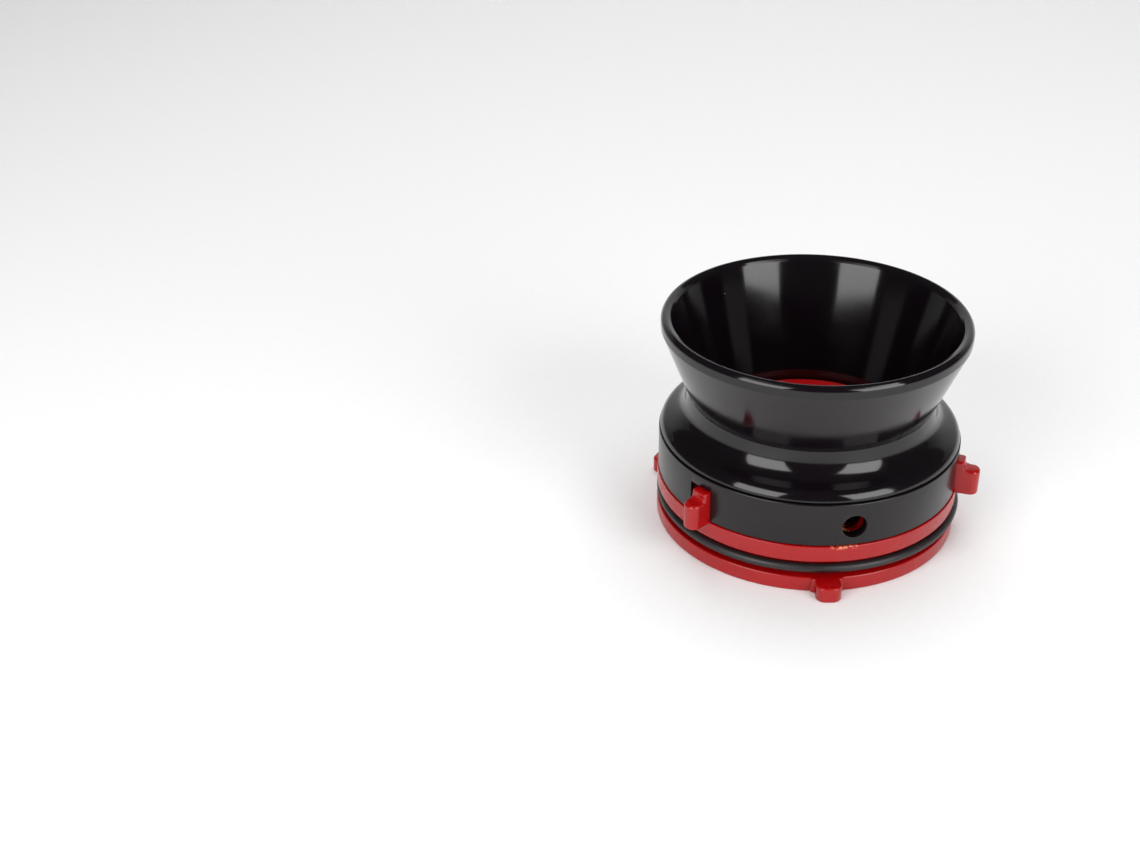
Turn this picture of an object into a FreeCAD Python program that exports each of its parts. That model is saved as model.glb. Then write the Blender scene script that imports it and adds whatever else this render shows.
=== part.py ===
import FreeCAD, Part
import math
import os

import Sketcher

# Flared cup on a twist-lock base: a black turned cup with a waist, standing on a red
# moulded insert with finger lugs, a loose sealing ring and a valve in its throat.
# Millimetres, +Z up.  The origin is on the axis, in the plane the base stands on.
# Azimuths count from the front (-Y), anticlockwise seen from above.

SIZES = {
    "floor": 0.0,
    # lock flange, the lowest red ring
    "flange_radius": 45.0,
    "flange_thick": 4.7,
    "flange_bore": 31.3,
    "clip_recess_radius": 34.8,
    "clip_recess_deep": 2.6,
    "collar_radius": 39.4,
    "collar_bore": 36.4,
    "collar_top": 9.5,
    "edge_round": 0.4,
    # lock lugs on the flange
    "lock_lug_end": 50.6,
    "lock_lug_half": 3.6,
    "lock_lug_round": 2.6,
    "lock_lug_azimuth": 10.8,
    # stops between the flange and the lug ring
    "stop_inner": 33.0,
    "stop_outer": 36.0,
    "stop_top": 8.4,
    "stop_bottom": 5.3,
    "stop_half_angle": 14.8,
    "stop_key_azimuth": 52.8,
    # lug ring, the upper red ring
    "band_radius": 45.0,
    "band_bottom": 10.0,
    "band_top": 15.1,
    "ring_bore": 31.3,
    "web_top": 14.0,
    "spigot_radius": 42.2,
    "spigot_bore": 39.5,
    "spigot_bottom": 4.9,
    "upstand_radius": 41.4,
    "upstand_bore": 38.4,
    "upstand_top": 23.6,
    # finger lugs on the lug ring, and the step that stands in the skirt's notch
    "lug_end": 51.2,
    "lug_half": 2.65,
    "lug_round": 2.2,
    "lug_bottom": 14.4,
    "lug_top": 22.4,
    "lug_azimuth": -38.8,
    "step_end": 46.7,
    "step_round": 0.7,
    "step_inner": 41.9,
    "step_top": 25.0,
    # round windows through the upstand, behind the skirt's round holes
    "window_radius": 4.4,
    # skirt ring
    "skirt_radius": 44.7,
    "skirt_bore": 41.7,
    "skirt_bottom": 15.3,
    "skirt_top": 28.7,
    "skirt_edge": 0.35,
    "notch_half": 4.0,
    "notch_top": 25.4,
    "notch_azimuth": -40.4,
    "hole_radius": 3.55,
    "hole_height": 21.3,
    "hole_azimuth": 19.3,
    # funnel shell
    "shell_foot": 16.2,
    "throat_radius": 31.4,
    "foot_radius": 33.8,
    "cone_start": 31.0,
    "relief_radius": 38.0,
    "relief_inner": 34.6,
    "relief_top": 31.5,
    "shell_spigot": 41.6,
    "shell_spigot_bottom": 24.0,
    "shell_ledge": 29.1,
    "shoulder_edge": 44.4,
    "shoulder_radius": 43.9,
    "shoulder_height": 31.4,
    "shoulder_round": 3.9,
    "cove_radius": 37.6,
    "cove_height": 34.4,
    "cove_round": 7.0,
    "waist_radius": 36.2,
    "waist_height": 40.7,
    "waist_round": 0.8,
    "rim_radius": 44.7,
    "rim_low": 61.8,
    "rim_low_round": 1.2,
    "rim_high": 64.2,
    "rim_high_round": 1.6,
    "crest_radius": 43.6,
    "crest_height": 65.6,
    "crest_round": 1.0,
    "lip_radius": 41.9,
    "lip_height": 64.75,
    "lip_round": 0.4,
    "mouth_radius": 41.4,
    "mouth_height": 64.0,
    "mouth_round": 0.3,
    # valve sleeve
    "sleeve_radius": 31.0,
    "sleeve_bore": 24.5,
    "sleeve_top": 28.3,
    "sleeve_round": 1.4,
    "sleeve_inner_round": 0.3,
    "inlet_radius": 23.0,
    "inlet_deep": 7.6,
    "seat_radius": 21.8,
    "seat_height": 10.5,
    "core_inner": 26.6,
    "core_outer": 28.6,
    "core_top": 22.0,
    "sleeve_flange": 36.0,
    "sleeve_flange_top": 16.0,
    "seal_groove_bottom": 29.5,
    "seal_groove_low": 17.9,
    "seal_groove_high": 20.1,
    "clip_groove_bottom": 30.1,
    "clip_low": 1.2,
    "clip_high": 2.3,
    "clip_radius": 34.0,
    "clip_bore": 30.2,
    "clip_gap_half": 5.0,
    # seals
    "ring_section": 1.33,
    "ring_centre": 43.75,
    "ring_height": 7.45,
    "seal_section": 0.9,
    "seal_centre": 30.45,
    "seal_height": 19.0,
    # valve seat, disc and hub
    "spider_radius": 24.4,
    "spider_rim_bore": 21.0,
    "spider_top": 13.2,
    "spoke_half": 1.1,
    "boss_outer": 5.5,
    "boss_bore": 3.05,
    "boss_bottom": 9.5,
    "disc_radius": 24.2,
    "disc_bottom": 13.3,
    "disc_top": 15.3,
    "disc_bore": 4.5,
    "disc_edge": 0.4,
    "hub_radius": 10.7,
    "hub_top": 16.35,
    "hub_edge": 0.3,
    "hub_dish": 3.3,
    "hub_dish_floor": 14.2,
    "stem_radius": 3.0,
    "stem_collar": 4.3,
    "stem_collar_bottom": 13.25,
    "stem_bottom": 8.0,
    "stem_groove": 2.4,
    "hub_clip_low": 8.3,
    "hub_clip_high": 8.8,
    "hub_clip_radius": 5.2,
    "washer_low": 8.9,
    "washer_high": 9.4,
    "washer_radius": 6.0,
    "slot_inner": 1.5,
    "slot_end": 8.7,
    "slot_half": 0.85,
    "slot_round": 0.8,
    "slot_floor": 14.4,
    "slot_azimuth": 139.0,
    "spoke_azimuth": 75.0,
}

LUG_COUNT = 3
SPOKE_COUNT = 6

document = FreeCAD.newDocument("FlaredCup")

sheet = document.addObject("Spreadsheet::Sheet", "Sizes")
for row, (alias, value) in enumerate(SIZES.items(), start=1):
    cell = "B" + str(row)
    sheet.set("A" + str(row), alias)
    sheet.set(cell, str(value))
    sheet.setAlias(cell, alias)
document.recompute()

SIGNS = {"+": 1.0, "-": -1.0}


def amount(words):
    """The value of a sum of named sizes, such as 'skirt_radius - skirt_bore'."""
    total = 0.0
    sign = 1.0
    for word in words.split():
        if word in SIGNS:
            sign = SIGNS[word]
        else:
            total += sign * SIZES[word]
    return total


def formula(words):
    """The same sum as an expression on the sheet's cells."""
    return " ".join(word if word in SIGNS else "Sizes." + word for word in words.split())


def new_body(label):
    body = document.addObject("PartDesign::Body", label)
    body.Label = label
    return body


def origin_feature(body, role):
    for feature in body.Origin.OriginFeatures:
        if feature.Role == role:
            return feature
    raise RuntimeError("no origin feature " + role)


def new_sketch(body, name, role):
    sketch = body.newObject("Sketcher::SketchObject", name)
    sketch.AttachmentSupport = (origin_feature(body, role), [""])
    sketch.MapMode = "FlatFace"
    return sketch


def drive(sketch, constraint, words):
    """Ties one sketch dimension to the sheet."""
    index = sketch.addConstraint(constraint)
    sketch.setExpression("Constraints[" + str(index) + "]", formula(words))


def tangent_length(before, corner, after, radius):
    """How far from a corner a rounding of this radius starts."""
    a = before.sub(corner)
    b = after.sub(corner)
    return radius / math.tan(a.getAngle(b) / 2.0)


def draw_outline(sketch, corners):
    """A closed outline through the corners (x, y, rounding), each a sum of named sizes.

    A corner with a rounding gets a tangent arc, and its sharp corner stays as a point."""
    points = [FreeCAD.Vector(amount(x), amount(y), 0) for x, y, _ in corners]
    count = len(corners)
    starts = []
    ends = []
    for i, (_, _, rounding) in enumerate(corners):
        before = points[i - 1]
        after = points[(i + 1) % count]
        corner = points[i]
        if rounding:
            reach = tangent_length(before, corner, after, amount(rounding))
            ends.append(corner + (before - corner).normalize() * reach)
            starts.append(corner + (after - corner).normalize() * reach)
        else:
            ends.append(corner)
            starts.append(corner)
    lines = []
    for i in range(count):
        segment = Part.LineSegment(starts[i], ends[(i + 1) % count])
        lines.append(sketch.addGeometry(segment, False))
    for i, (x, y, rounding) in enumerate(corners):
        arriving = lines[i - 1]
        leaving = lines[i]
        if not rounding:
            sketch.addConstraint(Sketcher.Constraint("Coincident", arriving, 2, leaving, 1))
            place_point(sketch, leaving, 1, x, y)
            continue
        arc = add_rounding(sketch, ends[i], points[i], starts[i], amount(rounding))
        first, last = arc_ends(sketch, arc, ends[i])
        sketch.addConstraint(Sketcher.Constraint("Tangent", arriving, 2, arc, first))
        sketch.addConstraint(Sketcher.Constraint("Tangent", leaving, 1, arc, last))
        drive(sketch, Sketcher.Constraint("Radius", arc, amount(rounding)), rounding)
        mark = sketch.addGeometry(Part.Point(points[i]), True)
        sketch.addConstraint(Sketcher.Constraint("PointOnObject", mark, 1, arriving))
        sketch.addConstraint(Sketcher.Constraint("PointOnObject", mark, 1, leaving))
        place_point(sketch, mark, 1, x, y)


def place_point(sketch, geometry, vertex, x, y):
    """Dimensions a point from the sketch's own axes."""
    across = Sketcher.Constraint("DistanceX", -1, 1, geometry, vertex, amount(x))
    upward = Sketcher.Constraint("DistanceY", -1, 1, geometry, vertex, amount(y))
    drive(sketch, across, x)
    drive(sketch, upward, y)


def add_rounding(sketch, start, corner, end, radius):
    """An arc tangent to both sides of a corner."""
    half = (start - corner).getAngle(end - corner) / 2.0
    middle = (start - corner).normalize() + (end - corner).normalize()
    to_centre = middle.normalize() * (radius / math.sin(half))
    centre = corner + to_centre
    bulge = centre - to_centre.normalize() * radius
    return sketch.addGeometry(Part.Arc(start, bulge, end), False)


def arc_ends(sketch, arc, start):
    """Which end of the arc is the start point: Sketcher arcs always run anticlockwise."""
    begins_here = sketch.getPoint(arc, 1).distanceToPoint(start) < 1e-6
    return (1, 2) if begins_here else (2, 1)


def revolve(body, corners):
    """Turns an outline of radii and heights about the Z axis."""
    sketch = new_sketch(body, body.Label + "_profile", "XZ_Plane")
    draw_outline(sketch, corners)
    turned = body.newObject("PartDesign::Revolution", body.Label + "_turned")
    turned.Profile = sketch
    turned.ReferenceAxis = (sketch, ["V_Axis"])
    turned.Angle = 360.0
    document.recompute()
    return turned


def plan_sketch(body, name, azimuth, height):
    """An empty sketch in plan whose x axis points outwards at an azimuth, at a height."""
    sketch = new_sketch(body, name, "XY_Plane")
    turn = FreeCAD.Rotation(FreeCAD.Vector(0, 0, 1), amount(azimuth) - 90.0)
    lift = FreeCAD.Vector(0, 0, amount(height))
    sketch.AttachmentOffset = FreeCAD.Placement(lift, turn)
    sketch.setExpression("AttachmentOffset.Base.z", formula(height))
    sketch.setExpression("AttachmentOffset.Rotation.Angle", formula(azimuth) + " - 90")
    return sketch


def raise_plan(body, name, sketch, low, high):
    """Pads a plan sketch from one height to another."""
    pad = body.newObject("PartDesign::Pad", name)
    pad.Profile = sketch
    pad.Length = amount(high) - amount(low)
    pad.setExpression("Length", formula(high) + " - " + formula(low))
    document.recompute()
    return pad


def pad_up(body, name, azimuth, low, high, corners):
    """A plan outline raised from one height to another."""
    sketch = plan_sketch(body, name + "_plan", azimuth, low)
    draw_outline(sketch, corners)
    return raise_plan(body, name, sketch, low, high)


def pocket_down(body, name, azimuth, high, low, corners):
    """A plan outline cut down from one height to another, checked to remove metal."""
    volume_before = body.Shape.Volume
    sketch = plan_sketch(body, name + "_plan", azimuth, high)
    draw_outline(sketch, corners)
    pocket = body.newObject("PartDesign::Pocket", name)
    pocket.Profile = sketch
    pocket.Length = amount(high) - amount(low)
    pocket.setExpression("Length", formula(high) + " - " + formula(low))
    document.recompute()
    if body.Shape.Volume >= volume_before:
        raise RuntimeError(name + " cuts nothing")
    return pocket


def radial_circle(body, name, azimuth, height, radius):
    """A circle on the upright plane through the axis whose normal has this azimuth."""
    sketch = new_sketch(body, name, "XZ_Plane")
    turn = FreeCAD.Rotation(FreeCAD.Vector(0, 1, 0), amount(azimuth))
    sketch.AttachmentOffset = FreeCAD.Placement(FreeCAD.Vector(0, 0, 0), turn)
    sketch.setExpression("AttachmentOffset.Rotation.Angle", formula(azimuth))
    centre = FreeCAD.Vector(0, amount(height), 0)
    circle = sketch.addGeometry(Part.Circle(centre, FreeCAD.Vector(0, 0, 1), amount(radius)))
    sketch.addConstraint(Sketcher.Constraint("PointOnObject", circle, 3, -2))
    upward = Sketcher.Constraint("DistanceY", -1, 1, circle, 3, amount(height))
    drive(sketch, upward, height)
    drive(sketch, Sketcher.Constraint("Radius", circle, amount(radius)), radius)
    return sketch


def round_window(body, name, radius):
    """A round hole from the axis out through one side of a ring."""
    pocket = body.newObject("PartDesign::Pocket", name)
    pocket.Profile = radial_circle(body, name + "_circle", "hole_azimuth", "hole_height", radius)
    pocket.Reversed = True
    pocket.Length = SIZES["lug_end"]
    pocket.setExpression("Length", "Sizes.lug_end")
    document.recompute()
    return pocket


def repeat_round(body, name, features, count):
    """Repeats features evenly about the Z axis."""
    pattern = body.newObject("PartDesign::PolarPattern", name)
    pattern.Originals = features
    pattern.Axis = (origin_feature(body, "Z_Axis"), [""])
    pattern.Angle = 360.0
    pattern.Occurrences = count
    body.Tip = pattern
    document.recompute()
    return pattern


def tongue(inner, end, half, rounding):
    """A tongue pointing outwards, with rounded outer corners."""
    minus = "- " + half
    return [
        (inner, minus, None),
        (end, minus, rounding),
        (end, half, rounding),
        (inner, half, None),
    ]


def sector_sketch(body, name, azimuth, height):
    """The plan of one stop block: a slice of a ring, centred on an azimuth."""
    sketch = plan_sketch(body, name, azimuth, height)
    half = math.radians(SIZES["stop_half_angle"])
    up = FreeCAD.Vector(0, 0, 1)
    centre = FreeCAD.Vector(0, 0, 0)
    arcs = []
    for radius in ("stop_inner", "stop_outer"):
        circle = Part.Circle(centre, up, SIZES[radius])
        arc = sketch.addGeometry(Part.ArcOfCircle(circle, -half, half), False)
        sketch.addConstraint(Sketcher.Constraint("Coincident", arc, 3, -1, 1))
        drive(sketch, Sketcher.Constraint("Radius", arc, SIZES[radius]), radius)
        arcs.append(arc)
    inner, outer = arcs
    for vertex, side in ((1, -half), (2, half)):
        direction = FreeCAD.Vector(math.cos(side), math.sin(side), 0)
        edge = Part.LineSegment(direction * SIZES["stop_inner"], direction * SIZES["stop_outer"])
        line = sketch.addGeometry(edge, False)
        sketch.addConstraint(Sketcher.Constraint("Coincident", line, 1, inner, vertex))
        sketch.addConstraint(Sketcher.Constraint("Coincident", line, 2, outer, vertex))
        angle = Sketcher.Constraint("Angle", -1, 1, line, 1, side)
        index = sketch.addConstraint(angle)
        sign = "-" if side < 0 else ""
        sketch.setExpression("Constraints[" + str(index) + "]", sign + "Sizes.stop_half_angle")
    return sketch


def stop_block(body, name, azimuth, low, high):
    """One stop block, raised from one height to another."""
    sketch = sector_sketch(body, name + "_plan", azimuth, low)
    return raise_plan(body, name, sketch, low, high)


def funnel_shell():
    """Turned cup: conical funnel, rolled rim, waist, coved shoulder and a spigot below."""
    body = new_body("funnel_shell")
    revolve(body, [
        ("throat_radius", "shell_foot", None),
        ("throat_radius", "cone_start", None),
        ("mouth_radius", "mouth_height", "mouth_round"),
        ("lip_radius", "lip_height", "lip_round"),
        ("crest_radius", "crest_height", "crest_round"),
        ("rim_radius", "rim_high", "rim_high_round"),
        ("rim_radius", "rim_low", "rim_low_round"),
        ("waist_radius", "waist_height", "waist_round"),
        ("cove_radius", "cove_height", "cove_round"),
        ("shoulder_radius", "shoulder_height", "shoulder_round"),
        ("shoulder_edge", "shell_ledge", "mouth_round"),
        ("shell_spigot", "shell_ledge", None),
        ("shell_spigot", "shell_spigot_bottom", None),
        ("relief_radius", "shell_spigot_bottom", None),
        ("relief_radius", "relief_top", None),
        ("relief_inner", "relief_top", None),
        ("foot_radius", "shell_foot", None),
    ])
    return body


def skirt_ring():
    """Turned ring under the shoulder, with open notches for the lugs and round holes."""
    body = new_body("skirt_ring")
    revolve(body, [
        ("skirt_bore", "skirt_bottom", None),
        ("skirt_radius", "skirt_bottom", "skirt_edge"),
        ("skirt_radius", "skirt_top", "skirt_edge"),
        ("skirt_bore", "skirt_top", None),
    ])
    notch = pocket_down(body, "notch", "notch_azimuth", "notch_top", "band_bottom", [
        ("relief_radius", "- notch_half", None),
        ("lug_end", "- notch_half", None),
        ("lug_end", "notch_half", None),
        ("relief_radius", "notch_half", None),
    ])
    hole = round_window(body, "side_hole", "hole_radius")
    repeat_round(body, "notches_and_holes", [notch, hole], LUG_COUNT)
    return body


def lug_ring():
    """Moulded ring: outer band, upstand inside the skirt, spigot that the flange turns on."""
    body = new_body("lug_ring")
    revolve(body, [
        ("ring_bore", "band_bottom", None),
        ("spigot_bore", "band_bottom", None),
        ("spigot_bore", "spigot_bottom", None),
        ("spigot_radius", "spigot_bottom", None),
        ("spigot_radius", "band_bottom", None),
        ("band_radius", "band_bottom", "edge_round"),
        ("band_radius", "band_top", "edge_round"),
        ("upstand_radius", "band_top", None),
        ("upstand_radius", "upstand_top", None),
        ("upstand_bore", "upstand_top", None),
        ("upstand_bore", "web_top", None),
        ("ring_bore", "web_top", None),
    ])
    lug = pad_up(body, "finger_lug", "lug_azimuth", "lug_bottom", "lug_top",
                 tongue("upstand_bore + edge_round", "lug_end", "lug_half", "lug_round"))
    step = pad_up(body, "lug_step", "lug_azimuth", "lug_bottom", "step_top",
                  tongue("step_inner", "step_end", "lug_half", "step_round"))
    key = stop_block(body, "stop_key", "stop_key_azimuth", "stop_bottom", "band_bottom")
    window = round_window(body, "upstand_window", "window_radius")
    repeat_round(body, "lugs_and_windows", [lug, step, key, window], LUG_COUNT)
    return body


def lock_flange():
    """Moulded ring that turns under the lug ring, with its own three lugs."""
    body = new_body("lock_flange")
    revolve(body, [
        ("flange_bore", "clip_recess_deep", None),
        ("clip_recess_radius", "clip_recess_deep", None),
        ("clip_recess_radius", "floor", None),
        ("flange_radius", "floor", "edge_round"),
        ("flange_radius", "flange_thick", "edge_round"),
        ("collar_radius", "flange_thick", None),
        ("collar_radius", "collar_top", None),
        ("collar_bore", "collar_top", None),
        ("collar_bore", "flange_thick", None),
        ("flange_bore", "flange_thick", None),
    ])
    lug = pad_up(body, "lock_lug", "lock_lug_azimuth", "floor", "flange_thick",
                 tongue("collar_radius", "lock_lug_end", "lock_lug_half", "lock_lug_round"))
    block = stop_block(body, "stop_block", "lock_lug_azimuth", "flange_thick", "stop_top")
    repeat_round(body, "lock_lugs", [lug, block], LUG_COUNT)
    return body


def valve_sleeve():
    """Moulded liner of the throat: thick top rim, bore, valve seat ledge and outer flange."""
    body = new_body("valve_sleeve")
    revolve(body, [
        ("inlet_radius", "floor", None),
        ("core_inner", "floor", None),
        ("core_inner", "core_top", None),
        ("core_outer", "core_top", None),
        ("core_outer", "floor", None),
        ("sleeve_radius", "floor", None),
        ("sleeve_radius", "clip_low", None),
        ("clip_groove_bottom", "clip_low", None),
        ("clip_groove_bottom", "clip_high", None),
        ("sleeve_radius", "clip_high", None),
        ("sleeve_radius", "web_top", None),
        ("sleeve_flange", "web_top", None),
        ("sleeve_flange", "sleeve_flange_top", None),
        ("sleeve_radius", "sleeve_flange_top", None),
        ("sleeve_radius", "seal_groove_low", None),
        ("seal_groove_bottom", "seal_groove_low", None),
        ("seal_groove_bottom", "seal_groove_high", None),
        ("sleeve_radius", "seal_groove_high", None),
        ("sleeve_radius", "sleeve_top", "sleeve_round"),
        ("sleeve_bore", "sleeve_top", "sleeve_inner_round"),
        ("sleeve_bore", "seat_height", None),
        ("seat_radius", "seat_height", None),
        ("seat_radius", "inlet_deep", None),
        ("inlet_radius", "inlet_deep", None),
    ])
    return body


def seal_ring(label, centre, section, height):
    """A rubber ring of round section."""
    ring = document.addObject("Part::Torus", label)
    ring.Label = label
    ring.setExpression("Radius1", formula(centre))
    ring.setExpression("Radius2", formula(section))
    ring.setExpression("Placement.Base.z", formula(height))
    return ring


def open_clip():
    """Flat steel snap ring that holds the flange up, open over a short gap."""
    body = new_body("flange_clip")
    revolve(body, [
        ("clip_bore", "clip_low", None),
        ("clip_radius", "clip_low", None),
        ("clip_radius", "clip_high", None),
        ("clip_bore", "clip_high", None),
    ])
    gap = pocket_down(body, "gap", "lock_lug_azimuth", "flange_thick", "floor", [
        ("sleeve_bore", "- clip_gap_half", None),
        ("band_radius", "- clip_gap_half", None),
        ("band_radius", "clip_gap_half", None),
        ("sleeve_bore", "clip_gap_half", None),
    ])
    body.Tip = gap
    return body


def seat_spider():
    """Spoked wheel under the valve disc: rim, spokes and a bored boss."""
    body = new_body("seat_spider")
    revolve(body, [
        ("boss_bore", "boss_bottom", None),
        ("boss_outer", "boss_bottom", None),
        ("boss_outer", "spider_top", None),
        ("boss_bore", "spider_top", None),
    ])
    rim_sketch = new_sketch(body, "rim_profile", "XZ_Plane")
    draw_outline(rim_sketch, [
        ("spider_rim_bore", "seat_height", None),
        ("spider_radius", "seat_height", None),
        ("spider_radius", "spider_top", None),
        ("spider_rim_bore", "spider_top", None),
    ])
    spoke = pad_up(body, "spoke", "spoke_azimuth", "seat_height", "spider_top", [
        ("boss_outer - edge_round", "- spoke_half", None),
        ("spider_rim_bore + edge_round", "- spoke_half", None),
        ("spider_rim_bore + edge_round", "spoke_half", None),
        ("boss_outer - edge_round", "spoke_half", None),
    ])
    repeat_round(body, "spokes", [spoke], SPOKE_COUNT)
    rim = body.newObject("PartDesign::Revolution", "rim")
    rim.Profile = rim_sketch
    rim.ReferenceAxis = (rim_sketch, ["V_Axis"])
    rim.Angle = 360.0
    body.Tip = rim
    document.recompute()
    return body


def washer(label, bore, radius, low, high):
    """A plain round washer or disc with a hole."""
    body = new_body(label)
    revolve(body, [
        (bore, low, None),
        (radius, low, None),
        (radius, high, None),
        (bore, high, None),
    ])
    return body


def valve_disc():
    """Flat rubber disc that closes the throat, pinned at its centre."""
    body = new_body("valve_disc")
    revolve(body, [
        ("disc_bore", "disc_bottom", None),
        ("disc_radius", "disc_bottom", "disc_edge"),
        ("disc_radius", "disc_top", "disc_edge"),
        ("disc_bore", "disc_top", None),
    ])
    return body


def valve_hub():
    """Moulded headed pin: head with a dish and a driver slot, stem with a clip groove."""
    body = new_body("valve_hub")
    revolve(body, [
        ("floor", "stem_bottom", None),
        ("stem_radius", "stem_bottom", None),
        ("stem_radius", "hub_clip_low", None),
        ("stem_groove", "hub_clip_low", None),
        ("stem_groove", "hub_clip_high", None),
        ("stem_radius", "hub_clip_high", None),
        ("stem_radius", "stem_collar_bottom", None),
        ("stem_collar", "stem_collar_bottom", None),
        ("stem_collar", "disc_top", None),
        ("hub_radius", "disc_top", None),
        ("hub_radius", "hub_top", "hub_edge"),
        ("hub_dish", "hub_top", None),
        ("hub_dish", "hub_dish_floor", None),
        ("floor", "hub_dish_floor", None),
    ])
    slot = pocket_down(body, "slot", "slot_azimuth", "hub_top", "slot_floor",
                       tongue("slot_inner", "slot_end", "slot_half", "slot_round"))
    body.Tip = slot
    return body


funnel_shell()
skirt_ring()
lug_ring()
lock_flange()
valve_sleeve()
seal_ring("body_ring", "ring_centre", "ring_section", "ring_height")
seal_ring("throat_seal", "seal_centre", "seal_section", "seal_height")
open_clip()
seat_spider()
valve_disc()
valve_hub()
washer("hub_washer", "boss_bore", "washer_radius", "washer_low", "washer_high")
washer("hub_clip", "stem_groove", "hub_clip_radius", "hub_clip_low", "hub_clip_high")

NODES = [
    "funnel_shell", "skirt_ring", "lug_ring", "lock_flange", "valve_sleeve", "body_ring",
    "throat_seal", "flange_clip", "seat_spider", "valve_disc", "valve_hub", "hub_washer",
    "hub_clip",
]

document.recompute()
for item in document.Objects:
    if "Invalid" in item.State or "Error" in item.State:
        raise RuntimeError(item.Label + " failed: " + str(item.State))

os.makedirs("parts", exist_ok=True)
for node in NODES:
    shape = document.getObjectsByLabel(node)[0].Shape
    if shape.isNull() or not shape.isValid():
        raise RuntimeError(node + " has no valid shape")
    shape.exportStep("parts/" + node + ".step")
    print(node, round(shape.Volume, 1), len(shape.Solids))
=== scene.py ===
import math

import bmesh
import bpy
import numpy as np
from mathutils import Matrix, Vector


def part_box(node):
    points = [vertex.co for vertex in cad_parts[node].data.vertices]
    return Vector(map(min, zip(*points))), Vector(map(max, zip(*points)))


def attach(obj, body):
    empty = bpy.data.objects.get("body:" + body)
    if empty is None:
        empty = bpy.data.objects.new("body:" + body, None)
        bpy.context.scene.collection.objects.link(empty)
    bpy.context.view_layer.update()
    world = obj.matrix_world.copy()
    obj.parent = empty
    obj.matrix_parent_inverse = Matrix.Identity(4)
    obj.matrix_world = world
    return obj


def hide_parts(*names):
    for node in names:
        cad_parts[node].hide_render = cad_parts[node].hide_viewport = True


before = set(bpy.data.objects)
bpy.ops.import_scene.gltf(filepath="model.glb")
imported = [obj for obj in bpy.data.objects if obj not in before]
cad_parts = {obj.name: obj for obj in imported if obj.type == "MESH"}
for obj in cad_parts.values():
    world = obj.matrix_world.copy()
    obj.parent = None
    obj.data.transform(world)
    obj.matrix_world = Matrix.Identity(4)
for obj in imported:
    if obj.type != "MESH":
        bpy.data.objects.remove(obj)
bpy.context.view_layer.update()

# ---------------------------------------------------------------------------------------
# Valve sleeve: the red liner of the throat.  Moulded ABS, with a thick rounded top rim
# that is spark-eroded in the mould, a smooth bore, and a flange that the lug ring holds.
# It is turned about the axis from one outline, as every round piece here is.
# ---------------------------------------------------------------------------------------

MM = 0.001
SHARP_ANGLE = 32


def linear(hex_colour):
    """An sRGB hex colour as linear RGBA."""
    channels = [int(hex_colour[i:i + 2], 16) / 255 for i in (1, 3, 5)]
    return [c / 12.92 if c <= 0.04045 else ((c + 0.055) / 1.055) ** 2.4 for c in channels] + [1.0]


def add(tree, kind, inputs=None, **settings):
    """Adds one node. Each input is a value or the output socket that feeds it."""
    node = tree.nodes.new(kind)
    for setting, value in settings.items():
        setattr(node, setting, value)
    for socket, value in (inputs or {}).items():
        if isinstance(value, bpy.types.NodeSocket):
            tree.links.new(value, node.inputs[socket])
        else:
            node.inputs[socket].default_value = value
    return node


def turning_tree():
    """Rounds the corners of an outline (x = radius, y = height) and turns it about Z."""
    tree = bpy.data.node_groups.new("turning", "GeometryNodeTree")
    sockets = tree.interface
    sockets.new_socket("Outline", in_out="INPUT", socket_type="NodeSocketGeometry")
    sockets.new_socket("Steps round", in_out="INPUT", socket_type="NodeSocketInt")
    sockets.new_socket("Corner steps", in_out="INPUT", socket_type="NodeSocketInt")
    sockets.new_socket("Axis offset", in_out="INPUT", socket_type="NodeSocketFloat")
    sockets.new_socket("Finish", in_out="INPUT", socket_type="NodeSocketMaterial")
    sockets.new_socket("Turned", in_out="OUTPUT", socket_type="NodeSocketGeometry")
    given = add(tree, "NodeGroupInput").outputs
    outline = add(tree, "GeometryNodeMeshToCurve", {"Mesh": given["Outline"]})
    rounding = add(tree, "GeometryNodeInputNamedAttribute", {"Name": "rounding"},
                   data_type="FLOAT")
    rounded = add(tree, "GeometryNodeFilletCurve", {
        "Curve": outline.outputs["Curve"],
        "Count": given["Corner steps"],
        "Radius": rounding.outputs["Attribute"],
        "Limit Radius": True,
    }, mode="POLY")
    path = add(tree, "GeometryNodeCurvePrimitiveCircle", {
        "Resolution": given["Steps round"],
        "Radius": given["Axis offset"],
    }, mode="RADIUS")
    upright = add(tree, "GeometryNodeSetCurveNormal", {"Curve": path.outputs["Curve"]})
    upright.mode = "Z_UP"
    turned = add(tree, "GeometryNodeCurveToMesh", {
        "Curve": upright.outputs["Curve"],
        "Profile Curve": rounded.outputs["Curve"],
    })
    merged = add(tree, "GeometryNodeMergeByDistance", {
        "Geometry": turned.outputs["Mesh"],
        "Distance": 2e-6,
    })
    whole = add(tree, "GeometryNodeRealizeInstances", {"Geometry": merged.outputs["Geometry"]})
    finished = add(tree, "GeometryNodeSetMaterial", {
        "Geometry": whole.outputs["Geometry"],
        "Material": given["Finish"],
    })
    add(tree, "NodeGroupOutput", {"Turned": finished.outputs["Geometry"]})
    return tree


def run_tree(obj, tree, **inputs):
    """Runs a node tree on an object and keeps the result as its plain mesh."""
    modifier = obj.modifiers.new(tree.name, "NODES")
    modifier.node_group = tree
    sockets = {item.name: item.identifier for item in tree.interface.items_tree}
    for name, value in inputs.items():
        modifier[sockets[name.replace("_", " ")]] = value
    settle(obj)


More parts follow.
